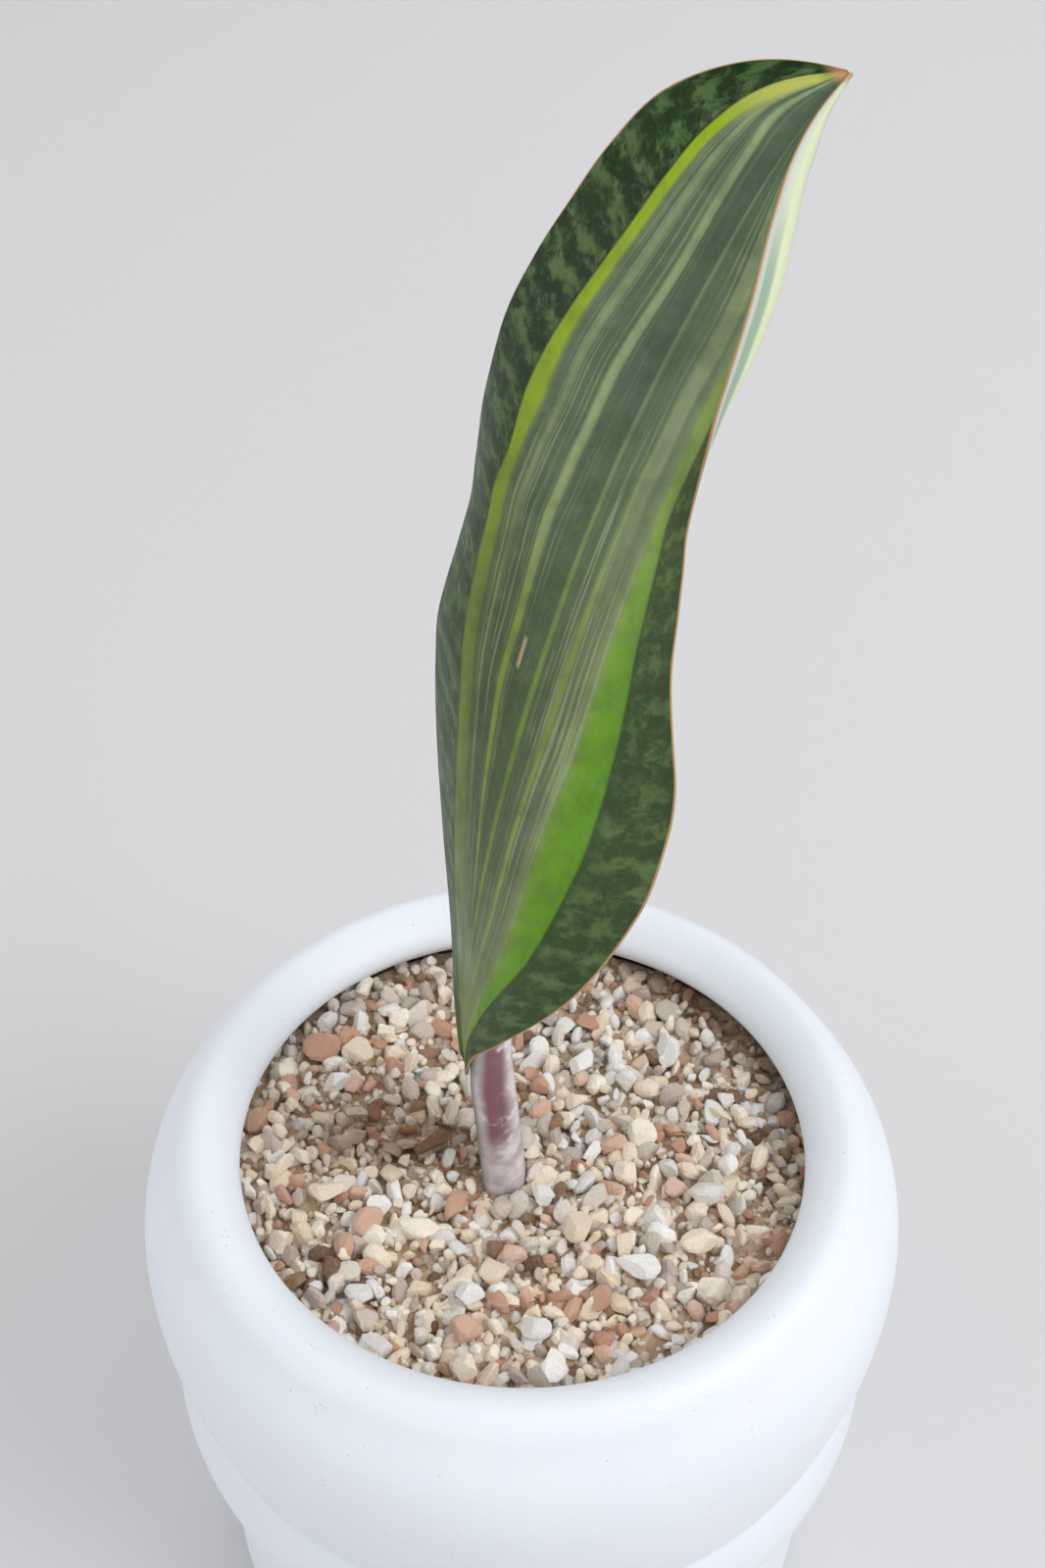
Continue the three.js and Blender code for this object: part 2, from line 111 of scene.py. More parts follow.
# The outline as knots of radius and height: the underside, the outer wall up over both rolls and the
# rim, then down the inside to the floor and back to the drain hole.
small_roll = rounded(
    [
        (LOWER_RADIUS, 52),
        (LOWER_RADIUS + 2.6, 54.4),
        (SMALL_ROLL_RADIUS - 1.2, 60),
        (SMALL_ROLL_RADIUS, 67),
        (SMALL_ROLL_RADIUS - 0.7, 74.5),
        (SMALL_ROLL_RADIUS - 2, 79),
    ],
    8,
)
large_roll = rounded(
    [
        (SMALL_ROLL_RADIUS - 2, 79),
        (ROLL_RADIUS - 3.2, 82.6),
        (ROLL_RADIUS - 1.6, 90),
        (ROLL_RADIUS - 0.3, 99),
        (ROLL_RADIUS, 109),
        (ROLL_RADIUS - 1.7, 117.5),
        (ROLL_RADIUS - 5.7, 124.6),
        (ROLL_RADIUS - 8.2, 128.3),
        (59.5, RIM_HEIGHT),
        (55.8, 129),
        (53, 126.8),
        (MOUTH_RADIUS, 124.6),
        (MOUTH_RADIUS + 0.6, 122.4),
        (MOUTH_RADIUS + 3.5, 118.6),
        (ROLL_RADIUS - WALL - 4, 114),
        (ROLL_RADIUS - WALL - 0.6, 108),
        (ROLL_RADIUS - WALL - 0.8, 98),
        (SMALL_ROLL_RADIUS - WALL - 2, 79),
        (SMALL_ROLL_RADIUS - WALL - 0.8, 66),
        (LOWER_RADIUS - WALL, 52),
        (LOWER_RADIUS - WALL - 0.6, 30),
        (LOWER_RADIUS - WALL - 1, 14),
        (LOWER_RADIUS - WALL - 5, FLOOR),
    ],
    8,
)
lower_wall = rounded(
    [
        (FOOT_RADIUS, 0),
        (LOWER_RADIUS - 2, 3),
        (LOWER_RADIUS - 0.9, 9),
        (LOWER_RADIUS - 0.4, 26),
        (LOWER_RADIUS, 52),
    ],
    6,
)
under = np.array(
    [
        (DRAIN_RADIUS, FLOOR),
        (DRAIN_RADIUS, FOOT_RECESS),
        (FOOT_RADIUS - FOOT_RING - 1.5, FOOT_RECESS),
        (FOOT_RADIUS - FOOT_RING, 0),
    ]
)
pot_outline = np.vstack([under, lower_wall, small_roll[1:], large_roll[1:]])
pot_skin = turned(pot_outline, POT_SIDES)
pot = new_piece("glazed_pot", pot_skin.reshape(-1, 3), grid_faces(len(pot_outline), POT_SIDES, True))


class Finish:
    """A node material put together step by step: each call adds one node and returns its output."""

    def __init__(self, name):
        self.material = bpy.data.materials.new(name)
        self.material.use_nodes = True
        self.nodes = self.material.node_tree.nodes
        self.links = self.material.node_tree.links
        self.shader = self.nodes["Principled BSDF"]

    def put(self, kind, sockets=None, output=0, **settings):
        """One node of a kind; each socket is given an output to follow or a plain value to hold."""
        node = self.nodes.new(kind)
        for key, value in settings.items():
            setattr(node, key, value)
        for key, value in (sockets or {}).items():
            if isinstance(value, bpy.types.NodeSocket):
                self.links.new(value, node.inputs[key])
            else:
                node.inputs[key].default_value = value
        return node.outputs[output]

    def number(self, name):
        """The piece's own attribute of that name."""
        return self.put("ShaderNodeAttribute", output=2, attribute_name=name)

    def place(self):
        """The point's own place on the piece, in metres."""
        return self.put("ShaderNodeTexCoord", output=3)

    def sum(self, operation, *values, clamp=False):
        """One sum on the values, such as ADD, or MULTIPLY_ADD for first times second plus third."""
        sockets = dict(enumerate(values))
        return self.put("ShaderNodeMath", sockets, operation=operation, use_clamp=clamp)

    def spots(self, where, scale, detail, rough=0.55, warp=0.0):
        """Cloudy noise about 0.5, with scale clouds to a metre and detail finer layers over them."""
        sockets = {"Vector": where, "Scale": scale, "Detail": detail}
        sockets |= {"Roughness": rough, "Distortion": warp}
        return self.put("ShaderNodeTexNoise", sockets)

    def band(self, value, low, high, start=0.0, end=1.0):
        """The value turned smoothly from start to end as it goes from low to high."""
        sockets = {0: value, 1: low, 2: high, 3: start, 4: end}
        return self.put("ShaderNodeMapRange", sockets, interpolation_type="SMOOTHSTEP")

    def blend(self, share, first, second):
        """The first colour times 1 - share, plus the second times share."""
        sockets = {0: share, 6: first, 7: second}
        return self.put("ShaderNodeMix", sockets, output=2, data_type="RGBA")

    def ramp(self, value, stops):
        """The value read on a row of (place, colour) stops, straight from one stop to the next."""
        node = self.nodes.new("ShaderNodeValToRGB")
        elements = node.color_ramp.elements
        while len(elements) < len(stops):
            elements.new(0.5)
        for element, (at, shade) in zip(elements, stops):
            element.position = at
            element.color = shade
        self.links.new(value, node.inputs[0])
        return node.outputs[0]

    def relief(self, height, depth, strength):
        """Fine relief, its depth in metres."""
        sockets = {"Height": height, "Distance": depth, "Strength": strength}
        self.links.new(self.put("ShaderNodeBump", sockets), self.shader.inputs["Normal"])

    def wear(self, piece, base, rough):
        """Sets the colour and roughness, a socket or a plain value, and gives the piece this finish."""
        for key, value in (("Base Color", base), ("Roughness", rough)):
            if isinstance(value, bpy.types.NodeSocket):
                self.links.new(value, self.shader.inputs[key])
            else:
                self.shader.inputs[key].default_value = value
        piece.data.materials.clear()
        piece.data.materials.append(self.material)


glaze = Finish("specked_white_glaze")
where = glaze.place()
cloud = glaze.spots(where, 45, 2)
glaze_white = glaze.blend(cloud, colour(238, 243, 249), colour(230, 236, 245))
# Specks are the middles of small cells, kept only where a second noise is high.
specks = glaze.put("ShaderNodeTexVoronoi", {"Vector": where, "Scale": 760})
rare = glaze.spots(where, 260, 1)
speck = glaze.sum("MULTIPLY", glaze.band(specks, 0.2, 0.1), glaze.band(rare, 0.6, 0.68))
glaze_colour = glaze.blend(glaze.sum("MULTIPLY", speck, 0.4), glaze_white, colour(158, 160, 166))
glaze.relief(glaze.spots(where, 900, 3), 0.00012, 0.5)
glaze.wear(pot, glaze_colour, 0.48)
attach(pot, "root")
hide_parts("pot")

# ---- Drain mesh ------------------------------------------------------------------------------
# A punched disc of dark green plastic over the drain hole, which keeps the grit in the pot.
# It is the frame's own piece in a dull moulded finish.

mesh_finish = Finish("moulded_mesh_plastic")
mesh_cloud = mesh_finish.spots(mesh_finish.place(), 900, 2)
mesh_finish.relief(mesh_cloud, 0.00006, 0.5)
mesh_finish.wear(
    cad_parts["drain_mesh"],
    mesh_finish.blend(mesh_cloud, colour(44, 58, 50), colour(58, 74, 64)),
    0.62,
)

# ---- Leaf ------------------------------------------------------------------------------------
# One grown piece: a stiff, waxy paddle that turns as it rises from a round, channelled stalk.
# The halves curl about a guide line; their hard copper margins are under a millimetre thick.

BLADE_THICK = 2.3
MARGIN_THICK = 0.45
# Where the halves are narrow the leaf thins to a quarter of their width above this.
THINNEST = 0.4
NARROWEST_HALF = 0.4
# The share of each half's width at which the margin starts to round off.
FLAT_TO = 0.982
BLADE_ROWS = 340
HALF_COLUMNS = 56
MARGIN_COLUMNS = 6
# The shape: widths of the halves in millimetres, and the facing and the curl of each half in
# degrees, at shares of the blade's length from foot to tip.
WIDTH_AT = [
    *(0, 0.05, 0.1, 0.2, 0.3, 0.37, 0.41, 0.45, 0.49, 0.53),
    *(0.57, 0.61, 0.65, 0.7, 0.75, 0.8, 0.85, 0.9, 0.95, 1),
]
LEFT_WIDTH = [
    *(6, 10.5, 13.5, 22.5, 27, 30, 32, 32.5, 32.5, 32.5),
    *(34.5, 35.5, 34.5, 32.5, 29, 25.5, 23, 20, 12.5, 0.5),
]
RIGHT_WIDTH = [
    *(1, 7, 15.5, 29.5, 35.5, 34.5, 32.5, 29, 25.5, 22.5),
    *(19.5, 17.5, 19, 24.5, 28.5, 28, 21.5, 12, 4.5, 0.5),
]
TURN_AT = [0, 0.2, 0.4, 0.6, 0.8, 1]
FACING = [-94, -70, -48, -34, -36, -40]
CURL_AT = [0, 0.1, 0.2, 0.3, 0.4, 0.5, 0.6, 0.7, 0.8, 0.9, 1]
LEFT_CURL = [34, 8, -7, -17, -29, -46, -52, -33, 1, 42, 87]
RIGHT_CURL = [-18, -27, -26, -17, -7, 13, 21, 82, 105, 117, 126]
# The four points that pull the guide line from the blade's foot to its tip.
GUIDE = np.array([[-10.3, -3, 148], [-13.3, 3.5, 211], [19.7, 36.6, 288], [46.7, 62, 303]])
STALK_POINTS = [(-3, -2, 101), (-3.8, -2.4, 118), (-5.2, -3.1, 138)]
STALK_RADII = [4.6, 4.5, 4.4]
# The stalk runs out as a keel on the blade's back: shares of the blade's length, and its radii.
KEEL_AT = [0, 0.06, 0.14, 0.24, 0.36, 0.5]
KEEL_RADII = [4.3, 4, 3.1, 2.2, 1.5, 0.8]
CHANNEL_DEPTH = 0.4
CHANNEL_ANGLE = 0.5


def through(at, value, x):
    """A smooth curve through (at, value) knots, read at x: on each span a cubic whose slope at a
    knot is that of the line between the knot's neighbours."""
    at, value = np.array(at, float), np.array(value, float)
    before = np.maximum(np.arange(len(at)) - 1, 0)
    after = np.minimum(np.arange(len(at)) + 1, len(at) - 1)
    slope = (value[after] - value[before]) / (at[after] - at[before])
    i = np.clip(np.searchsorted(at, x, side="right") - 1, 0, len(at) - 2)
    h = at[i + 1] - at[i]
    t = (x - at[i]) / h
    rise = t * t * (3 - 2 * t) * (value[i + 1] - value[i])
    return value[i] + rise + t * (1 - t) * h * ((1 - t) * slope[i] - t * slope[i + 1])


def unit(vectors):
    """Each vector divided by its length."""
    return vectors / np.linalg.norm(vectors, axis=-1, keepdims=True)


def blade_frame(u):
    """Places on the guide line at shares u of its length, with the line's direction, the way the
    upper face looks and the way to the right. The line is the cubic pulled by the four points."""
    t = np.linspace(0, 1, 2001)[:, None]
    a, b, c, d = GUIDE
    line = (1 - t) ** 3 * a + 3 * (1 - t) ** 2 * t * b + 3 * (1 - t) * t**2 * c + t**3 * d
    run = np.r_[0, np.cumsum(np.linalg.norm(np.diff(line, axis=0), axis=1))]
    slope = unit(np.gradient(line, axis=0))
    share = run / run[-1]
    at = np.stack([np.interp(u, share, line[:, k]) for k in range(3)], -1)
    along = unit(np.stack([np.interp(u, share, slope[:, k]) for k in range(3)], -1))
    turn = np.radians(through(TURN_AT, FACING, u))
    up = np.stack([np.sin(turn), -np.cos(turn), 0 * turn], -1)
    up = unit(up - (up * along).sum(-1, keepdims=True) * along)
    return at, along, up, np.cross(along, up)


def blade_surface(u, v, lift):
    """Points at shares u along and v across (-1 left margin, 1 right margin), lifted off the
    middle of the leaf's thickness. Each half is an arc whose angle grows evenly with v."""
    at, _, up, right = (x[:, None, :] for x in blade_frame(u))
    side = np.sign(v)[None, :]
    widths = [through(WIDTH_AT, width, u)[:, None] for width in (LEFT_WIDTH, RIGHT_WIDTH)]
    half = np.maximum(np.where(side < 0, *widths), NARROWEST_HALF)
    curls = [through(CURL_AT, curl, u)[:, None] for curl in (LEFT_CURL, RIGHT_CURL)]
    curl = np.radians(np.where(side < 0, *curls))
    # A half that is all but flat is given a trace of curl, so that nothing is divided by zero.
    curl = np.where(np.abs(curl) < 1e-3, 1e-3, curl)
    angle = curl * np.abs(v)[None, :]
    thick = leaf_thickness(u, v)
    depth = thick / 2 - lift * thick / 2 * blunt(v)
    sideways = side * (half * np.sin(angle) / curl + depth * np.sin(angle))
    upwards = half * (1 - np.cos(angle)) / curl - depth * np.cos(angle)
    return at + sideways[..., None] * right + upwards[..., None] * up


def leaf_thickness(u, v):
    """Thickest along the middle, falling with the square of v to the margin."""
    narrow = np.minimum(through(WIDTH_AT, LEFT_WIDTH, u), through(WIDTH_AT, RIGHT_WIDTH, u))
    middle = np.minimum(BLADE_THICK, THINNEST + 0.25 * np.maximum(narrow, 0))[:, None]
    margin = np.minimum(MARGIN_THICK, middle)
    return margin + (middle - margin) * (1 - v[None, :] ** 2)


def blunt(v):
    """1 over most of the leaf, then a quarter round down to 0 at the margins."""
    past = np.clip((np.abs(v) - FLAT_TO) / (1 - FLAT_TO), 0, 1)
    return np.sqrt(1 - past**2)[None, :]


# Columns of one half from the guide line out, closer towards the margin, then round its edge.
half = 1 - (1 - np.linspace(0, 1, HALF_COLUMNS + 1)) ** 1.25
rounding = 1 - (1 - FLAT_TO) * np.cos(np.linspace(0, np.pi / 2, MARGIN_COLUMNS))
half = np.r_[half[half < FLAT_TO], rounding]
across = np.r_[-half[:0:-1], half]
along = np.linspace(0, 1, BLADE_ROWS)
top = blade_surface(along, across, 1.0)
bottom = blade_surface(along, across[1:-1], -1.0)[:, ::-1]
rings = np.concatenate([top, bottom], 1)
ring_count = rings.shape[1]
blade_u = np.repeat(along, ring_count)
blade_v = np.tile(np.r_[across, across[-2:0:-1]], BLADE_ROWS)
blade_side = np.tile(np.r_[np.ones(len(across)), np.zeros(len(across) - 2)], BLADE_ROWS)


def closed_ends(points, rows, columns, base=0):
    """Fans that close the first and last ring on their middles: two more points, and the faces."""
    grid = points.reshape(rows, columns, 3)
    middles = np.stack([grid[0].mean(0), grid[-1].mean(0)])
    j = np.arange(columns)
    k = (j + 1) % columns
    last = (rows - 1) * columns
    first_fan = np.stack([k, j, 0 * j + rows * columns], -1)
    last_fan = np.stack([last + j, last + k, 0 * j + rows * columns + 1], -1)
    return middles, base + first_fan, base + last_fan


blade_points = rings.reshape(-1, 3)
blade_middles, blade_foot, blade_tip = closed_ends(blade_points, BLADE_ROWS, ring_count)
blade_faces = grid_faces(BLADE_ROWS, ring_count)

# The stalk: a ring with a hollow on its upper side, carried up to the blade and out along its back.
STALK_ROWS = 130
STALK_COLUMNS = 48
keel_place, _, keel_up, _ = blade_frame(np.array(KEEL_AT))
keel_line = keel_place - keel_up * np.array(KEEL_RADII)[:, None]
stalk_line = rounded(np.vstack([STALK_POINTS, keel_line]), 40)
knots = np.arange(len(STALK_POINTS) + len(KEEL_AT))
knot = np.linspace(0, knots[-1], len(stalk_line))
stalk_radius = through(knots, STALK_RADII + KEEL_RADII, knot)
pick = np.linspace(0, len(stalk_line) - 1, STALK_ROWS).astype(int)
stalk_at = stalk_line[pick]
stalk_along = unit(np.gradient(stalk_line, axis=0))[pick]
stalk_knot = knot[pick]
keel_share = np.clip((stalk_knot - len(STALK_POINTS)) / (len(KEEL_AT) - 1), 0, 1)
_, _, stalk_up, _ = blade_frame(keel_share * KEEL_AT[-1])
stalk_up = unit(stalk_up - (stalk_up * stalk_along).sum(-1, keepdims=True) * stalk_along)
stalk_right = np.cross(stalk_along, stalk_up)
angle = np.linspace(-np.pi, np.pi, STALK_COLUMNS, endpoint=False)
hollow = CHANNEL_DEPTH * np.exp(-((angle / CHANNEL_ANGLE) ** 2))
ray = stalk_radius[pick][:, None] * (1 - hollow)[None, :]
stalk = (
    stalk_at[:, None]
    + (ray * np.cos(angle))[..., None] * stalk_up[:, None]
    + (ray * np.sin(angle))[..., None] * stalk_right[:, None]
)
stalk_points = stalk.reshape(-1, 3)
stalk_base = len(blade_points) + 2
stalk_middles, stalk_foot, stalk_tip = closed_ends(stalk_points, STALK_ROWS, STALK_COLUMNS, stalk_base)
leaf_points = np.vstack([blade_points, blade_middles, stalk_points, stalk_middles])
leaf_faces = [
    *blade_faces.tolist(),
    *blade_foot.tolist(),
    *blade_tip.tolist(),
    *(grid_faces(STALK_ROWS, STALK_COLUMNS) + stalk_base).tolist(),
    *stalk_foot.tolist(),
    *stalk_tip.tolist(),
]
# "along" runs from -1 at the stalk's foot to 0 at the blade's and 1 at the tip; "across" is v on
# the blade, and on the stalk the angle from its channel in half turns.
stalk_u = np.repeat(stalk_knot / len(STALK_POINTS) - 1, STALK_COLUMNS)
stalk_v = np.tile(angle / np.pi, STALK_ROWS)
# Where the colour bands' edges run: v at shares of the blade's length, from the left margin to the
# right. "stripe" is v stretched so that each edge keeps one value all the way along.
BAND_AT = [0, 0.1, 0.2, 0.3, 0.4, 0.47, 0.55, 0.6, 0.65, 0.7, 0.8, 0.9, 0.94, 1]
LEFT_BAND_OUT = [
    *(-0.6, -0.6, -0.56, -0.54, -0.56, -0.62, -0.64),
    *(-0.57, -0.6, -0.59, -0.575, -0.575, -0.6, -0.6),
]
LEFT_BAND_IN = [
    *(-0.15, -0.22, -0.29, -0.36, -0.43, -0.48, -0.51),
    *(-0.48, -0.46, -0.49, -0.495, -0.485, -0.47, -0.3),
]
PALE_LINE = [0, -0.02, -0.05, -0.14, -0.19, -0.19, -0.21, -0.19, -0.18, -0.19, -0.165, -0.23, -0.31, -0.25]
RIGHT_BAND_IN = [0.44, 0.44, 0.435, 0.37, 0.405, 0.46, 0.56, 0.635, 0.64, 0.51, 0.46, 0.46, 0.46, 0.46]
RIGHT_BAND_OUT = [0.5, 0.55, 0.62, 0.62, 0.62, 0.67, 0.715, 0.75, 0.785, 0.76, 0.7, 0.68, 0.68, 0.68]
MIDDLE_LINE = 0.02
EDGE_VALUES = np.array([0, 0.2, 0.25, 0.4, 0.5, 0.7, 0.8, 1])
left_edges = [through(BAND_AT, k, along) for k in (LEFT_BAND_OUT, LEFT_BAND_IN, PALE_LINE)]
right_edges = [through(BAND_AT, k, along) for k in (RIGHT_BAND_IN, RIGHT_BAND_OUT)]
middle_edge = MIDDLE_LINE + 0 * along
edges = np.stack([-1 + 0 * along, *left_edges, middle_edge, *right_edges, 1 + 0 * along], -1)
ring_v = blade_v[:ring_count]
stripe = np.concatenate([np.interp(ring_v, row, EDGE_VALUES) for row in edges])

leaf = new_piece(
    "leaf_blade_and_stalk",
    leaf_points,
    leaf_faces,
    {
        "stripe": np.r_[stripe, 0.5, 0.5, 0.5 + 0 * stalk_u, 0.5, 0.5],
        "along": np.r_[blade_u, 0, 1, stalk_u, -1, 1],
        "across": np.r_[blade_v, 0, 0, stalk_v, 0, 0],
        "upper": np.r_[blade_side, 1, 1, 0 * stalk_u, 0, 0],
        "stalk": np.r_[0 * blade_u, 0, 0, 1 + 0 * stalk_u, 1, 1],
    },
)

# Places on the blade in millimetres, by its length and a typical half width, for the patterns.
BLADE_LENGTH = 184.0
HALF_WIDTH = 33.0
green = Finish("striped_leaf")
u = green.number("along")
v = green.number("across")
is_upper = green.number("upper")
is_stalk = green.number("stalk")
lengthwise = green.sum("MULTIPLY", u, BLADE_LENGTH)
crosswise = green.sum("MULTIPLY", v, HALF_WIDTH)

# Stripes: the "stripe" value, with a slow waver, read on a row of colours; one row for the foot of
# the blade and one for its upper half.
waver_place = green.put("ShaderNodeCombineXYZ", {0: green.sum("MULTIPLY", u, 9.0), 1: 0.0, 2: 3.0})
waver = green.spots(waver_place, 1.0, 2)
row = green.sum("MULTIPLY_ADD", green.sum("SUBTRACT", waver, 0.5), 0.008, green.number("stripe"))

# What the waxy skin adds: it passes this share of the colour below and lays this grey over it.
SKIN_PASSES = 0.98
SKIN_GREY = 0.014
DARKEST = 0.004


def pigment(red, green_part, blue):
    """A leaf colour as it should show, made ready for the skin over it: the shown colour times
    the share that passes, less the grey, and never below the darkest."""
    shown = np.array(colour(red, green_part, blue)[:3])
    return (*np.maximum(shown * SKIN_PASSES - SKIN_GREY, DARKEST).tolist(), 1.0)


low = green.ramp(
    row,
    [
        (0.0, pigment(58, 78, 50)),
        (0.196, pigment(58, 78, 50)),
        (0.206, pigment(112, 136, 50)),
        (0.246, pigment(100, 124, 54)),
        (0.256, pigment(86, 98, 64)),
        (0.3, pigment(94, 110, 66)),
        (0.316, pigment(78, 92, 64)),
        (0.386, pigment(80, 96, 64)),
        (0.396, pigment(130, 154, 64)),
        (0.41, pigment(126, 150, 66)),
        (0.42, pigment(76, 92, 64)),
        (0.498, pigment(84, 102, 70)),
        (0.506, pigment(122, 148, 64)),
        (0.514, pigment(120, 146, 66)),
        (0.523, pigment(86, 102, 72)),
        (0.578, pigment(94, 108, 78)),
        (0.59, pigment(126, 150, 74)),
        (0.602, pigment(122, 146, 76)),
        (0.612, pigment(96, 108, 82)),
        (0.65, pigment(108, 120, 90)),
        (0.69, pigment(136, 152, 98)),
        (0.708, pigment(122, 162, 58)),
        (0.74, pigment(112, 162, 40)),
        (0.796, pigment(102, 154, 34)),
        (0.803, pigment(62, 82, 46)),
        (1.0, pigment(58, 78, 44)),
    ],
)
high = green.ramp(
    row,
    [
        (0.0, pigment(42, 62, 34)),
        (0.197, pigment(38, 58, 30)),
        (0.203, pigment(150, 178, 36)),
        (0.24, pigment(156, 184, 42)),
        (0.25, pigment(120, 140, 90)),
        (0.262, pigment(98, 118, 92)),
        (0.288, pigment(96, 116, 90)),
        (0.298, pigment(140, 158, 116)),
        (0.312, pigment(136, 154, 112)),
        (0.322, pigment(94, 114, 90)),
        (0.386, pigment(98, 118, 92)),
        (0.394, pigment(158, 176, 128)),
        (0.412, pigment(154, 172, 126)),
        (0.422, pigment(90, 110, 88)),
        (0.5, pigment(92, 112, 90)),
        (0.508, pigment(138, 156, 122)),
        (0.518, pigment(98, 118, 92)),
        (0.585, pigment(104, 124, 96)),
        (0.6, pigment(146, 162, 122)),
        (0.64, pigment(152, 168, 126)),
        (0.655, pigment(120, 140, 108)),
        (0.69, pigment(140, 158, 116)),
        (0.706, pigment(156, 180, 98)),
        (0.78, pigment(142, 170, 92)),
        (0.798, pigment(116, 134, 100)),
        (0.81, pigment(84, 96, 58)),
        (1.0, pigment(66, 84, 52)),
    ],
)
striped = green.blend(green.band(u, 0.4, 0.74), low, high)

# Fine pale threads in the centre, broken along their length, closest in its right half.
thread_long = green.sum("MULTIPLY", u, 4.0)
thread_wide = green.sum("MULTIPLY", row, 95.0)
thread_place = green.put("ShaderNodeCombineXYZ", {0: thread_long, 1: thread_wide, 2: 0.0})
threads = green.band(green.spots(thread_place, 1.0, 3, 0.62), 0.5, 0.62)
right_half = green.sum("MULTIPLY", green.band(row, 0.515, 0.56), green.band(row, 0.71, 0.69))
left_half = green.sum("MULTIPLY", green.band(row, 0.252, 0.27), green.band(row, 0.5, 0.38))
in_centre = green.sum("MULTIPLY_ADD", left_half, 0.7, right_half)
thread_share = green.sum("MULTIPLY", green.sum("MULTIPLY", threads, in_centre), 0.62)
threaded = green.blend(thread_share, striped, pigment(162, 178, 132))

# Wings: dark, with soft paler patches that slant outwards in loose rows across the leaf. A row
# falls back by the slant on its way to the margin, and the next is 2 pi / ROW_TURN further on.
PATCH_SLANT = 14.0
ROW_TURN = 1.05
slant = green.sum("MULTIPLY", green.sum("ABSOLUTE", v), PATCH_SLANT)
slanted = green.sum("SUBTRACT", lengthwise, slant)
patch_long = green.sum("MULTIPLY", slanted, 0.36)
patch_wide = green.sum("MULTIPLY", crosswise, 0.2)
patch_place = green.put("ShaderNodeCombineXYZ", {0: patch_long, 1: patch_wide, 2: 0.0})
tufts = green.spots(patch_place, 1.0, 6, 0.68, 0.3)
rows = green.sum("SINE", green.sum("MULTIPLY", slanted, ROW_TURN))
patches = green.band(green.sum("MULTIPLY_ADD", rows, 0.06, tufts), 0.45, 0.64)
in_wing = green.sum("ADD", green.band(row, 0.2, 0.185), green.band(row, 0.805, 0.83), clamp=True)
patch_share = green.sum("MULTIPLY", patches, green.sum("MULTIPLY_ADD", in_wing, 0.62, 0.12))
mottled = green.blend(patch_share, threaded, pigment(100, 126, 76))

# Over all of it: a yellower foot, a faint whitish bloom in specks, and slow darker clouds.
foot_long = green.sum("MULTIPLY", green.band(u, 0.26, 0.04), 0.75)
foot_wide = green.sum("MULTIPLY", green.band(row, 0.2, 0.3), green.band(row, 0.76, 0.6))
mottled = green.blend(green.sum("MULTIPLY", foot_long, foot_wide), mottled, pigment(122, 140, 74))
bloom = green.band(green.spots(green.place(), 520, 5, 0.72), 0.48, 0.7, 0.0, 0.2)
mottled = green.blend(bloom, mottled, pigment(134, 150, 118))
shade = green.spots(green.place(), 160, 5, 0.62)
mottled = green.blend(green.band(shade, 0.4, 0.7, 0.0, 0.3), mottled, pigment(54, 74, 50))

# The scar of an old scratch, and the pale end of the left band.
scar_long = green.sum("MULTIPLY", green.band(u, 0.428, 0.434), green.band(u, 0.462, 0.456))
scar_wide = green.sum("MULTIPLY", green.band(v, -0.113, -0.103), green.band(v, -0.081, -0.091))
scarred = green.blend(green.sum("MULTIPLY", scar_long, scar_wide), mottled, pigment(178, 158, 122))
pale_long = green.sum("MULTIPLY", green.band(u, 0.9, 0.955), green.band(u, 0.99, 0.975))
pale_wide = green.sum("MULTIPLY", green.band(row, 0.19, 0.205), green.band(row, 0.34, 0.25))
pale_share = green.sum("MULTIPLY", green.sum("MULTIPLY", pale_long, pale_wide), 0.9)
front = green.blend(pale_share, scarred, pigment(196, 198, 104))

# The back is paler; its right half runs from green through teal and a pale yellow stripe to a whitish band
# by the margin, which is painted sheen.
back_stripes_and_sheen = green.ramp(
    v,
    [
        (0.0, pigment(88, 110, 82)),
        (0.45, pigment(94, 120, 92)),
        (0.56, pigment(176, 192, 176)),
        (0.66, pigment(206, 216, 194)),
        (0.76, pigment(220, 230, 190)),
        (0.84, pigment(224, 234, 192)),
        # From here out to the margin the whitish tones are painted sheen.
        (0.89, pigment(214, 222, 194)),
        (0.94, pigment(212, 216, 204)),
        (1.0, pigment(190, 192, 184)),
    ],
)
teal_long = green.sum("MULTIPLY", green.band(u, 0.88, 0.8), 0.78)
teal_wide = green.sum("MULTIPLY", green.band(v, 0.84, 0.89), green.band(v, 0.965, 0.945))
back_stripes_and_sheen = green.blend(green.sum("MULTIPLY", teal_long, teal_wide), back_stripes_and_sheen, pigment(132, 170, 142))
back_patches = green.sum("MULTIPLY", green.sum("MULTIPLY", patches, green.band(v, 0.5, 0.3)), 0.5)
back = green.blend(back_patches, back_stripes_and_sheen, pigment(136, 158, 128))
faces_two = green.blend(is_upper, back, front)

# The margin is a hard copper line, and the tip is dry and brown.
edge_start = green.band(u, 0.0, 0.15, 0.94, 0.988)
edge = green.band(green.sum("SUBTRACT", green.sum("ABSOLUTE", v), edge_start), 0.0, 0.006)
edged = green.blend(edge, faces_two, pigment(186, 146, 104))
leaf_end = green.blend(green.band(u, 0.982, 0.996), edged, pigment(206, 162, 118))

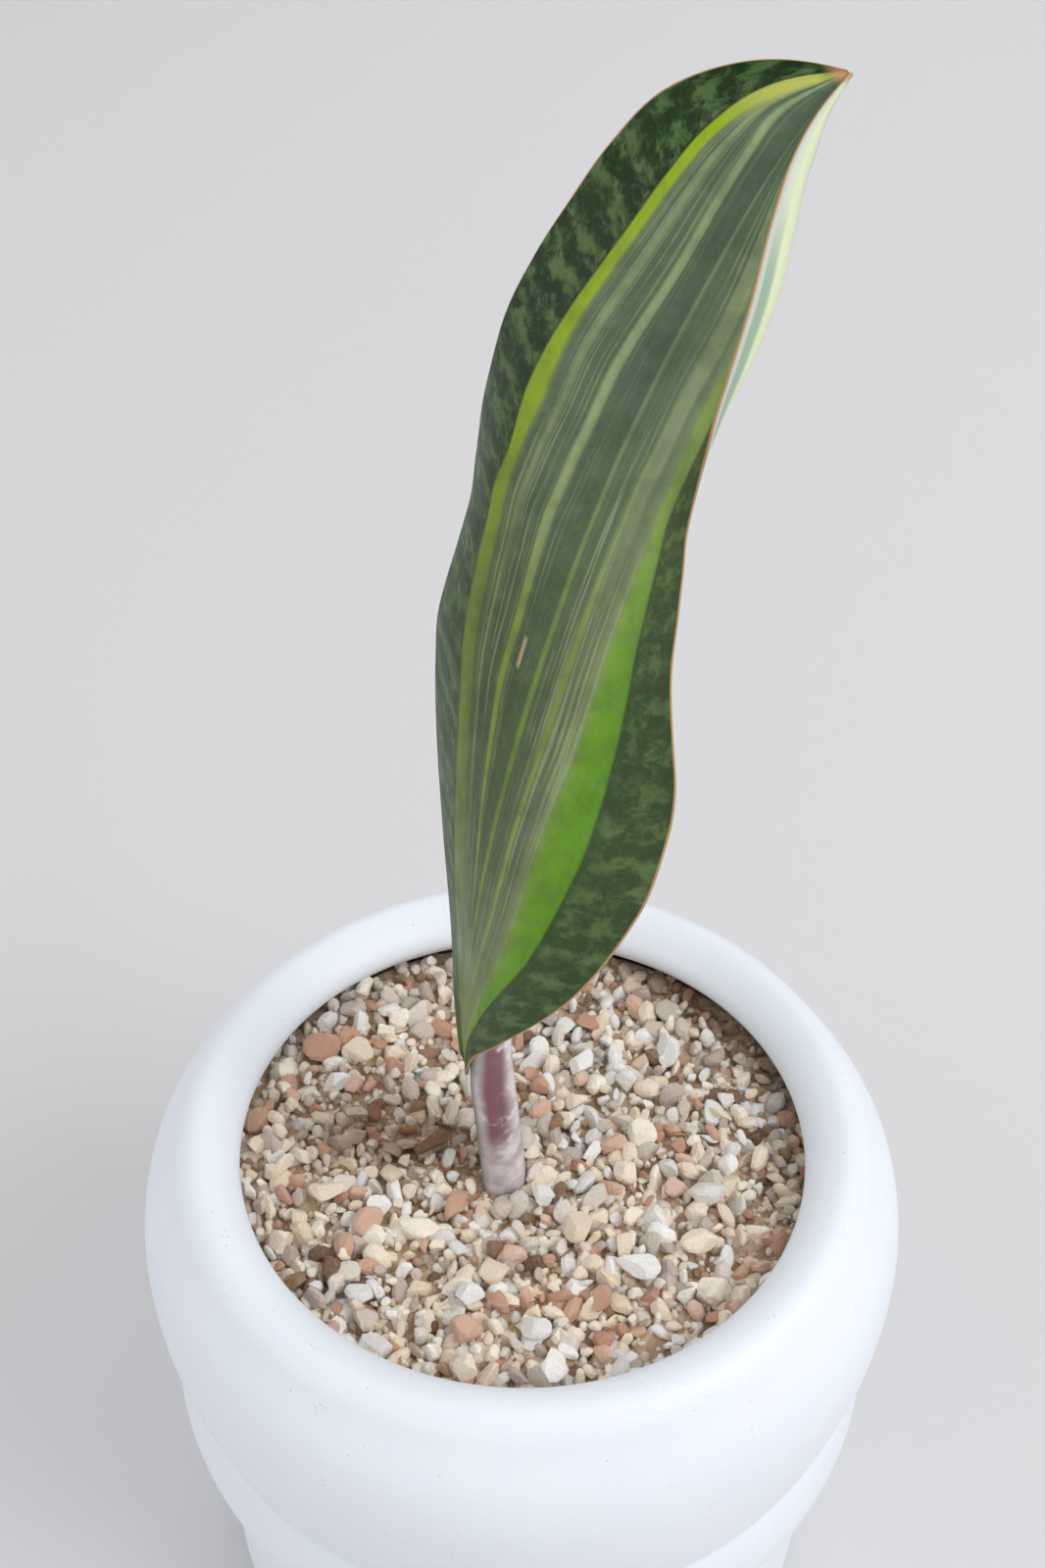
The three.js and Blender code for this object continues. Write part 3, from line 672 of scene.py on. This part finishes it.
# The stalk: whitish mauve, green-grey by its channel, with a wine-red flush on its upper part.
turn_out = green.sum("ABSOLUTE", v)
stalk_spots = green.spots(green.place(), 190, 4, 0.6)
flush_long = green.band(u, -0.54, -0.36)
flush_wide = green.sum("MULTIPLY", green.band(turn_out, 0.34, 0.5), green.band(turn_out, 0.88, 0.66))
flush = green.sum("MULTIPLY", flush_long, flush_wide)
flush = green.sum("MULTIPLY", flush, green.band(stalk_spots, 0.3, 0.5))
stalk_cloud = green.band(stalk_spots, 0.35, 0.65)
pale_stalk = green.blend(stalk_cloud, pigment(236, 228, 230), pigment(192, 182, 184))
greened = green.blend(green.band(turn_out, 0.42, 0.2), pale_stalk, pigment(122, 128, 110))
flushed = green.blend(green.sum("MULTIPLY", flush, 0.9), greened, pigment(126, 82, 90))
leaf_colour = green.blend(is_stalk, leaf_end, flushed)

# Fine ribs along the leaf and pores between them; the wax is a thin, soft coat.
ribs = green.spots(thread_place, 1.6, 2, 0.5)
pores = green.spots(green.place(), 1800, 2, 0.5)
green.relief(green.sum("MULTIPLY_ADD", pores, 0.35, ribs), 0.00016, 0.55)
green.shader.inputs["Specular IOR Level"].default_value = 0.3
green.shader.inputs["IOR"].default_value = 1.42
green.shader.inputs["Coat Weight"].default_value = 0.06
green.shader.inputs["Coat Roughness"].default_value = 0.35
green.wear(leaf, leaf_colour, green.band(shade, 0.3, 0.7, 0.36, 0.48))
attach(leaf, "root")
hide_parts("leaf")

# ---- Rhizome and roots -----------------------------------------------------------------------
# The buried stem and its fleshy roots, out of sight in the grit. They are the frame's own pieces
# with a dull, ringed skin.

bark_skin = Finish("rhizome_skin")
skin_rings = bark_skin.put(
    "ShaderNodeTexWave", {"Vector": bark_skin.place(), "Scale": 160, "Distortion": 4.0}
)
bark_skin.relief(skin_rings, 0.0004, 0.6)
bark_skin.wear(
    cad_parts["rhizome"],
    bark_skin.blend(skin_rings, colour(150, 104, 62), colour(196, 152, 98)),
    0.8,
)
root_skin = Finish("root_skin")
root_cloud = root_skin.spots(root_skin.place(), 400, 4)
root_skin.relief(root_cloud, 0.0003, 0.6)
root_colour = root_skin.blend(root_cloud, colour(198, 160, 104), colour(226, 196, 146))
for n in range(1, 6):
    root_skin.wear(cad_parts[f"root_{n}"], root_colour, 0.85)

# ---- Grit bed --------------------------------------------------------------------------------
# The body of the loose mineral mix. It fills the pot up to the grains on top, and shows only in
# the chinks between them: dust, darkened to brown as painted shade of the chinks.

BED_TOP = 116.6
BED_FOOT = 112.0
BED_RADIUS = 57.0
BED_MIDDLE = 0.4
BED_SIDES = 160
BED_RINGS = 60
BED_RIPPLE = 0.35

bed_edge = [(BED_MIDDLE, BED_FOOT), (BED_RADIUS - 2, BED_FOOT), (BED_RADIUS, BED_TOP - 1)]
bed_radii = np.linspace(BED_RADIUS - 0.5, BED_MIDDLE, BED_RINGS)
bed_outline = np.vstack([bed_edge, np.stack([bed_radii, 0 * bed_radii + BED_TOP], -1)])
bed_skin = turned(bed_outline, BED_SIDES)
# Every point of the top is moved up or down at random; its outermost ring and all below it are not.
ripple = np.random.default_rng(11).normal(0, BED_RIPPLE, bed_skin.shape[:2])
ripple[: len(bed_edge) + 1] = 0
bed_skin[..., 2] += ripple
bed_points = bed_skin.reshape(-1, 3)
bed_middles, bed_foot, bed_cap = closed_ends(bed_points, len(bed_outline), BED_SIDES)
bed = new_piece(
    "grit_body",
    np.vstack([bed_points, bed_middles]),
    [*grid_faces(len(bed_outline), BED_SIDES).tolist(), *bed_foot.tolist(), *bed_cap.tolist()],
)
dust = Finish("dust_and_chink_shade")
dust_place = dust.place()
dust_cells = dust.put("ShaderNodeTexVoronoi", {"Vector": dust_place, "Scale": 420}, output=1)
dust_tone = dust.put("ShaderNodeSeparateColor", {0: dust_cells})
# Tones of dust, darker than the grains, as painted shade of the chinks between them.
DUST_AND_CHINK_SHADE_STOPS = [(0.0, colour(146, 116, 90)), (0.5, colour(178, 150, 122)), (1.0, colour(206, 182, 152))]
dust_and_chink_shade_colour = dust.ramp(dust_tone, DUST_AND_CHINK_SHADE_STOPS)
dust.relief(dust.spots(dust_place, 700, 4), 0.0006, 0.9)
dust.wear(bed, dust_and_chink_shade_colour, 0.95)
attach(bed, "root")
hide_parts("grit_bed")

# ---- Grains ----------------------------------------------------------------------------------
# Loose grit: white pumice, cream grit, red-brown baked clay, grey-tan stone and a few flakes of
# bark, with fines of them all in the chinks. Each kind is one piece, its grains knobbly and
# tumbled every way; they lie loose, filled in by hand and levelled off below the rim.

GRAIN_TOP = 118.2
PACKING = 3.2
JITTER = 0.36
LAYER_DROPS = (3.4, 1.7, 0.0)
LEVEL_SPREAD = 0.7
TOP_LAYER_SHARE = 0.72
# How far out the top layer reaches, and how much further out a lower one does for each mm down.
REACH = 54.0
REACH_PER_DROP = 0.9
STALK_X = -3.8
STALK_Y = -2.4
STALK_CLEARANCE = 5.4
SHORTEST = 3.0
LENGTH_RANGE = 4.2
# The painted shade: one patch in the hollow by the stalk, with its reach each way, and one along the
# rim under its lip, with its reach from the wall and round it in radians.
PAINTED_SHADE_X = -25.0
PAINTED_SHADE_Y = 7.0
PAINTED_SHADE_REACH_X = 17.0
PAINTED_SHADE_REACH_Y = 8.0
PAINTED_SHADE_RADIUS = 54.0
PAINTED_SHADE_BEARING = 0.6
PAINTED_SHADE_REACH_OUT = 4.0
PAINTED_SHADE_REACH_ROUND = 0.8
PAINTED_SHADE_SHIFT = 0.35


def ball(cuts):
    """A cube's grid of points pushed out to a sphere, and its four-cornered faces."""
    t = np.linspace(-1, 1, cuts + 1)
    a, b = np.meshgrid(t, t, indexing="ij")
    sides = []
    for axis in range(3):
        for sign in (-1, 1):
            face = np.stack([np.full_like(a, sign), a, b], -1)
            face = np.roll(face, axis, -1)
            sides.append(face if sign < 0 else face[::-1])
    points = np.concatenate([s.reshape(-1, 3) for s in sides])
    per = (cuts + 1) ** 2
    one = grid_faces(cuts + 1, cuts + 1, wrap_columns=False)
    faces = np.concatenate([one + k * per for k in range(6)])
    # Points that two sides share are joined into one.
    near = np.round(points, 6)
    _, first, inverse = np.unique(near, axis=0, return_index=True, return_inverse=True)
    return unit(points[first]), inverse.reshape(-1)[faces]


def tumbled(rng, count):
    """Random turns, every way equally likely, as 3 by 3 arrays: unit quaternions made matrices."""
    w, x, y, z = unit(rng.normal(size=(count, 4))).T
    return np.stack(
        [
            np.stack([1 - 2 * (y * y + z * z), 2 * (x * y - z * w), 2 * (x * z + y * w)], -1),
            np.stack([2 * (x * y + z * w), 1 - 2 * (x * x + z * z), 2 * (y * z - x * w)], -1),
            np.stack([2 * (x * z - y * w), 2 * (y * z + x * w), 1 - 2 * (x * x + y * y)], -1),
        ],
        1,
    )


def painted_shade_at(places):
    """How much painted shade, darker and browner, the grit is given: 1 in the hollow left of the stalk and
    along the right of the rim under its lip, falling off as e to the power of minus the squares of the
    distances over their reaches."""
    x, y = places[:, 0], places[:, 1]
    out, bearing = np.hypot(x, y), np.arctan2(y, x)
    left = ((x - PAINTED_SHADE_X) / PAINTED_SHADE_REACH_X) ** 2 + ((y - PAINTED_SHADE_Y) / PAINTED_SHADE_REACH_Y) ** 2
    rim = ((out - PAINTED_SHADE_RADIUS) / PAINTED_SHADE_REACH_OUT) ** 2 + ((bearing - PAINTED_SHADE_BEARING) / PAINTED_SHADE_REACH_ROUND) ** 2
    return np.exp(-np.minimum(left, rim))


def grains(name, rng, places, sizes, turns, cuts, knobbly, chips):
    """Every grain is the ball with each corner pushed in or out at random, cut by a few random
    flats, stretched to its size, turned and set in its place. A flat at distance f moves the points
    beyond it back along its normal n by n.p - f. "tone" is one random number a grain, and the
    second attribute is how much painted shade its place is given."""
    points, faces = ball(cuts)
    count = len(places)
    push = 1 + knobbly * rng.uniform(-1, 1, (count, len(points), 1))
    shape = points[None] * push
    for _ in range(chips):
        normal = unit(rng.normal(size=(count, 1, 3)))
        reach = (shape * normal).sum(-1, keepdims=True)
        over = np.maximum(reach - rng.uniform(0.45, 0.8, (count, 1, 1)), 0)
        shape = shape - over * normal
    shape = shape * (sizes / 2)[:, None, :]
    shape = np.einsum("gij,gpj->gpi", turns, shape) + places[:, None, :]
    every = (faces[None] + (np.arange(count) * len(points))[:, None, None]).reshape(-1, 4)
    tone = np.repeat(rng.uniform(size=count), len(points))
    painted_shade_share = np.repeat(painted_shade_at(places), len(points))
    piece = new_piece(name, shape.reshape(-1, 3), every, {"tone": tone, "painted_shade": painted_shade_share})
    piece.data.polygons.foreach_set("use_smooth", np.zeros(len(piece.data.polygons), bool))
    return piece


def grain_finish(name, stops, relief):
    """A dull finish with dust, whose colour is read on the stops by each grain's tone, with painted
    shade, darker and browner, where the grit lies in the hollow by the stalk and under the rim. Returns
    the finish and that colour."""
    made = Finish(name)
    place = made.place()
    base = made.ramp(made.number("tone"), stops)
    grainy = made.spots(place, 1400, 4, 0.65)
    dust_and_painted_shade = made.blend(made.band(grainy, 0.35, 0.75, 0.0, 0.25), base, colour(200, 180, 162))
    # Painted shade: the grain colour is blended towards dark brown in the hollow by the stalk and under
    # the rim.
    painted_shade = made.sum("MULTIPLY", made.number("painted_shade"), made.band(made.spots(place, 190, 2), 0.22, 0.52))
    dust_and_painted_shade = made.blend(made.sum("MULTIPLY", painted_shade, 0.85), dust_and_painted_shade, colour(120, 80, 46))
    made.relief(grainy, relief, 0.8)
    return made, dust_and_painted_shade


# Three layers on a grid of triangles, each grain moved off its corner at random. The rows are
# closer than the columns, so a second block of rows follows the first to reach the wall behind.
ROW_STEP = 0.866
rng = np.random.default_rng(7)
side = np.arange(-BED_RADIUS, BED_RADIUS, PACKING)
layers = []
for layer, drop in enumerate(LAYER_DROPS):
    x, y = np.meshgrid(side, side * ROW_STEP)
    x = x + (np.arange(len(side)) % 2)[:, None] * PACKING / 2 + layer * PACKING / 3
    corners = np.stack([x, y], -1).reshape(-1, 2)
    corners = np.vstack([corners, corners + [0, len(side) * PACKING * ROW_STEP]])
    corners = corners + rng.uniform(-JITTER, JITTER, corners.shape) * PACKING
    corners = corners[np.hypot(*corners.T) < REACH + REACH_PER_DROP * drop]
    level = GRAIN_TOP - drop + rng.uniform(-LEVEL_SPREAD, LEVEL_SPREAD, len(corners))
    layers.append(np.column_stack([corners, level]))
kept = rng.uniform(size=len(layers[-1])) < TOP_LAYER_SHARE
places = np.vstack([*layers[:-1], layers[-1][kept]])
places = places[np.hypot(places[:, 0] - STALK_X, places[:, 1] - STALK_Y) > STALK_CLEARANCE]
count = len(places)
# The kinds follow one another from 0 to 1; places given painted shade are shifted towards the
# later, browner ones, so that the grit there reads darker.
painted_shade_shift = PAINTED_SHADE_SHIFT * painted_shade_at(places)
order = rng.uniform(size=count) * (1 - painted_shade_shift) + painted_shade_shift
lengths = SHORTEST + LENGTH_RANGE * rng.uniform(size=count) ** 2
slim = [np.ones(count), rng.uniform(0.5, 0.85, count), rng.uniform(0.4, 0.75, count)]
sizes = lengths[:, None] * np.column_stack(slim)
turns = tumbled(rng, count)

# Each kind: its share of all the grains, and its range of colours.
KINDS = {
    "pumice": (0.22, [(0.0, colour(226, 224, 218)), (1.0, colour(250, 249, 246))]),
    "cream_grit": (
        0.4,
        [(0.0, colour(232, 214, 190)), (0.5, colour(245, 232, 210)), (1.0, colour(251, 244, 230))],
    ),
    "red_clay": (
        0.11,
        [(0.0, colour(188, 142, 118)), (0.6, colour(210, 170, 146)), (1.0, colour(226, 196, 176))],
    ),
    "mixed_grit": (
        0.24,
        [(0.0, colour(184, 168, 156)), (0.5, colour(214, 202, 190)), (1.0, colour(232, 223, 212))],
    ),
    "bark": (0.03, [(0.0, colour(104, 76, 54)), (1.0, colour(148, 116, 88))]),
}
GRAIN_ROUGH = 0.92
finishes = {}
start = 0.0
for kind, (share, stops) in KINDS.items():
    of_kind = (order >= start) & (order < start + share)
    start += share
    laid = places[of_kind], sizes[of_kind], turns[of_kind]
    small = grains(f"{kind}_small", rng, *laid, cuts=3, knobbly=0.05, chips=6)
    finish, dust_and_painted_shade = grain_finish(f"{kind}_finish", stops, 0.0004)
    finish.wear(small, dust_and_painted_shade, GRAIN_ROUGH)
    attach(small, "root")
    finishes[kind] = finish

# Fines of every kind lie in the chinks, as many to each square millimetre out to the wall.
FINE_COUNT = 2000
FINE_REACH = 54.5
FINE_DROP = 1.5
fine_bearing = rng.uniform(0, 2 * np.pi, FINE_COUNT)
fine_out = FINE_REACH * np.sqrt(rng.uniform(size=FINE_COUNT))
fine_level = GRAIN_TOP - FINE_DROP + rng.uniform(-LEVEL_SPREAD, LEVEL_SPREAD, FINE_COUNT)
fine_x = fine_out * np.cos(fine_bearing)
fine_y = fine_out * np.sin(fine_bearing)
fine_places = np.stack([fine_x, fine_y, fine_level], -1)
fine_sizes = rng.uniform(1.3, 2.6, (FINE_COUNT, 1)) * rng.uniform(0.6, 1.0, (FINE_COUNT, 3))
fine_turns = tumbled(rng, FINE_COUNT)
fines = grains("fines", rng, fine_places, fine_sizes, fine_turns, cuts=2, knobbly=0.05, chips=3)
fine_finish, fine_dust_and_painted_shade = grain_finish(
    "fines_finish",
    [
        (0.0, colour(182, 138, 114)),
        (0.14, colour(178, 160, 142)),
        (0.4, colour(214, 200, 184)),
        (0.55, colour(240, 227, 206)),
        (0.85, colour(248, 240, 226)),
        (1.0, colour(250, 249, 246)),
    ],
    0.0003,
)
fine_finish.wear(fines, fine_dust_and_painted_shade, GRAIN_ROUGH)
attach(fines, "root")

# The largest grains lie on top where the frame has them, but LARGE_LIFT higher, so that the small
# ones do not bury them. Each kind is one piece. A row is x, y, length, width, height and turn.
LARGE_LEVEL = 118.0
LARGE_LIFT = 1.2
LARGE_PROUD = 0.15
LARGE = {
    "pumice": [
        (4, -8.5, 7, 4.6, 4, 0),
        (-9, -30.5, 6, 5, 4.5, -30),
        (11, 23, 8, 5, 4.5, 80),
        (28, 27, 9.5, 5, 4.5, 85),
        (-36, 17, 7, 5.5, 4.5, 50),
        (2.5, -36.5, 6.5, 5.5, 4.5, 0),
        (34, -8, 7.5, 6, 5, 20),
        (21, -23.5, 8.5, 6, 5, -20),
        (-28.5, -30.5, 5.5, 5, 4, 0),
        (6, -44.5, 7, 5, 4.5, 70),
    ],
    "cream_grit": [
        (-32, 25.5, 7.5, 5, 4.5, -30),
        (-36, -8.5, 8, 4.8, 4.5, 10),
        (-4.5, -25, 6.5, 5.8, 5, 0),
        (-18.5, -16, 9, 4.5, 4, -25),
        (10.5, -15.5, 7, 6.5, 5, 30),
        (22.5, 6, 6.5, 6, 5, 60),
        (32, -18, 7, 5.2, 4.5, 10),
        (-9, -45, 5.5, 5.2, 4.5, 40),
        (34.5, -28, 7, 5, 4.5, 0),
        (-43, -19.5, 7, 5, 4.5, 70),
    ],
    "red_clay": [
        (-9.5, -37.5, 6.5, 6, 5.5, 20),
        (-28, -14.5, 7, 5.5, 5, 60),
        (-39.5, 26, 8, 6.5, 5.5, 20),
        (-12, -11, 8.5, 4, 4, 75),
        (14, -31, 6.5, 4, 4, 70),
    ],
    "bark": [(-16.5, 3.5, 9, 5, 3, 40), (6, 8, 5, 3.5, 3, 65), (-39.5, -27.5, 5, 3.5, 3, 30)],
}
for kind, rows in LARGE.items():
    x, y, length, width, height, turn = np.array(rows, float).T
    centre = np.stack([x, y, LARGE_LEVEL + LARGE_PROUD * height + LARGE_LIFT], -1)
    size = np.stack([length, width, height], -1)
    c, s, zero = np.cos(np.radians(turn)), np.sin(np.radians(turn)), 0 * turn
    spin = np.array([[c, -s, zero], [s, c, zero], [zero, zero, zero + 1]]).transpose(2, 0, 1)
    large = grains(f"{kind}_large", rng, centre, size, spin, cuts=5, knobbly=0.02, chips=9)
    large.data.materials.append(finishes[kind].material)
    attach(large, "root")
    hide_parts(*[f"{kind}_{i + 1}" for i in range(len(rows))])

# ---- Stage -----------------------------------------------------------------------------------
# A pale floor that curves up into a backdrop, soft light from all round, and the camera.

FLOOR_FRONT = -2.5
FLOOR_BACK = 1.1
BEND_RADIUS = 0.8
WALL_TOP = 3.0
HALF_WIDE = 3.0

bend = np.linspace(0, np.pi / 2, 24)
sweep = np.stack([FLOOR_BACK + BEND_RADIUS * np.sin(bend), BEND_RADIUS - BEND_RADIUS * np.cos(bend)], -1)
backdrop_line = np.vstack([(FLOOR_FRONT, 0), sweep, (FLOOR_BACK + BEND_RADIUS, WALL_TOP)])
sides_and_line = np.broadcast_arrays([-HALF_WIDE, HALF_WIDE], backdrop_line[:, :1], backdrop_line[:, 1:])
backdrop_points = np.stack(sides_and_line, -1).reshape(-1, 3) / MM
backdrop_faces = grid_faces(len(backdrop_line), 2, wrap_columns=False)[:, ::-1]
backdrop = new_piece("backdrop", backdrop_points, backdrop_faces)
paper = Finish("pale_floor")
paper.wear(backdrop, colour(217, 216, 217), 0.9)


def soft_light(name, place, aim, size, power, tint):
    """A round lamp of that size in metres and power in watts. It shines against its own z, so its
    z points from the aim to its place."""
    lamp = bpy.data.lights.new(name, "AREA")
    lamp.shape = "DISK"
    lamp.size = size
    lamp.energy = power
    lamp.color = tint
    holder = bpy.data.objects.new(name, lamp)
    away = unit(np.array(place, float) - np.array(aim, float))
    side = unit(np.cross([0, 0, 1], away))
    turn = np.stack([side, np.cross(away, side), away], 1)
    holder.matrix_world = Matrix.Translation(place) @ Matrix(turn.tolist()).to_4x4()
    bpy.context.scene.collection.objects.link(holder)


soft_light("window", (0.9, -0.5, 1.1), (0, 0, 0.15), size=0.9, power=8.0, tint=(1.0, 1.0, 1.0))
soft_light("fill", (-1.1, -0.3, 0.7), (0, 0, 0.15), size=1.0, power=1.6, tint=(1.0, 0.98, 0.96))
soft_light("rim", (0.3, 1.1, 0.9), (0, 0, 0.2), size=0.7, power=2.2, tint=(1.0, 1.0, 1.0))
world = bpy.data.worlds.new("soft_daylight")
world.use_nodes = True
sky = world.node_tree.nodes["Background"]
sky.inputs["Color"].default_value = (0.97, 0.98, 1.0, 1)
sky.inputs["Strength"].default_value = 0.76
bpy.context.scene.world = world
bpy.context.scene.view_settings.view_transform = "Standard"

# The camera stands in front, 0.45 m above the foot, and looks down 43 degrees into the pot.
CAMERA_PLACE = (0.0, -0.2498, 0.4463)
LOOK_DOWN = np.radians(42.86)
CAMERA_YAW = np.radians(-0.18)
CAMERA_ROLL = np.radians(0.66)
# ahead is where the camera looks, level its right before the roll, upright its up before the roll.
across_floor = np.cos(LOOK_DOWN)
ahead = np.array(
    [np.sin(CAMERA_YAW) * across_floor, np.cos(CAMERA_YAW) * across_floor, -np.sin(LOOK_DOWN)]
)
level = np.array([np.cos(CAMERA_YAW), -np.sin(CAMERA_YAW), 0])
upright = np.cross(level, ahead)
right_way = level * np.cos(CAMERA_ROLL) + upright * np.sin(CAMERA_ROLL)
up_way = upright * np.cos(CAMERA_ROLL) - level * np.sin(CAMERA_ROLL)
camera_turn = Matrix(np.stack([right_way, up_way, -ahead], 1).tolist()).to_4x4()
camera = bpy.data.objects.new("camera", bpy.data.cameras.new("camera"))
camera.data.lens = 50
camera.data.sensor_width = 36
camera.data.clip_start = 0.01
camera.matrix_world = Matrix.Translation(CAMERA_PLACE) @ camera_turn
bpy.context.scene.collection.objects.link(camera)
bpy.context.scene.camera = camera
